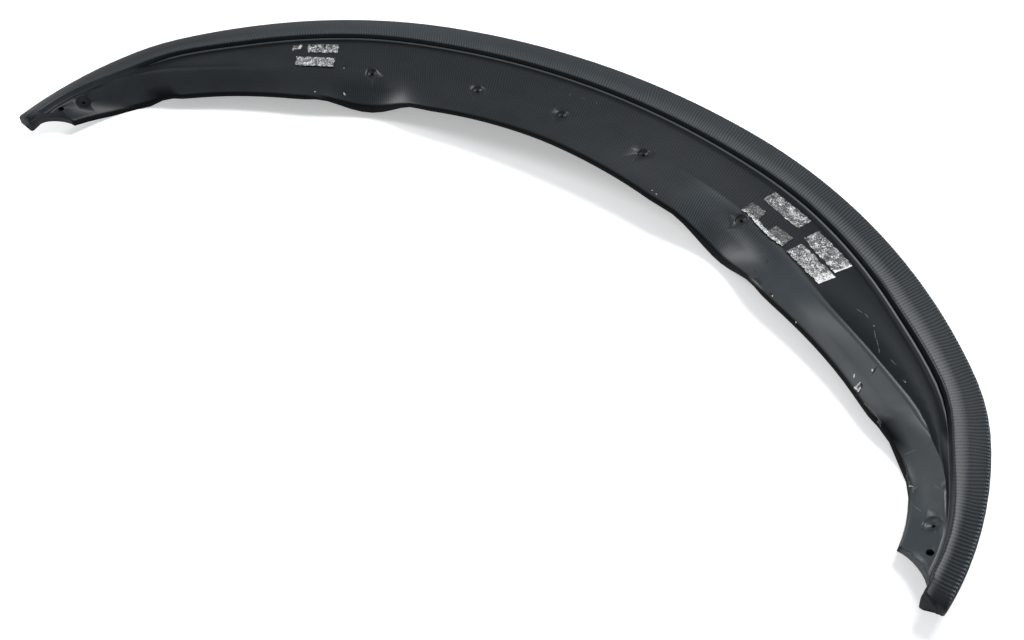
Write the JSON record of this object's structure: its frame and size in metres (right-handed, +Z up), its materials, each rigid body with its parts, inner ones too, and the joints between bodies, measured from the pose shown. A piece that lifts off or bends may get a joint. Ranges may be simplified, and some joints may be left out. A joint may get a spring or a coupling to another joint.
{
  "type": "front splitter lip",
  "caption": "Bowed carbon fibre splitter lip for under a car's front bumper, with a raised rim, a channelled deck, dished screw holes, tapered tips and worn tape residue.",
  "frame": {"origin": "bottom centre of the bounding box, on the floor under the bow's middle plane", "axes": "+X across the car, +Y toward the front edge of the bow, +Z up, as the lip lies on a floor"},
  "size_m": [1.804, 0.7232, 0.1227],
  "materials": {
    "carbon": "clear-coated woven carbon fibre, worn satin on the ramps",
    "tape": "crinkled silvery film of torn double-sided tape"
  },
  "bodies": {
    "root": {"lip": "carbon", "tape_left_outer": "tape", "tape_left_inner": "tape", "tape_left_scrap": "tape", "tape_right_outer": "tape", "tape_right_corner": "tape", "tape_right_inner": "tape", "tape_right_torn": "tape"}
  },
  "joints": []
}
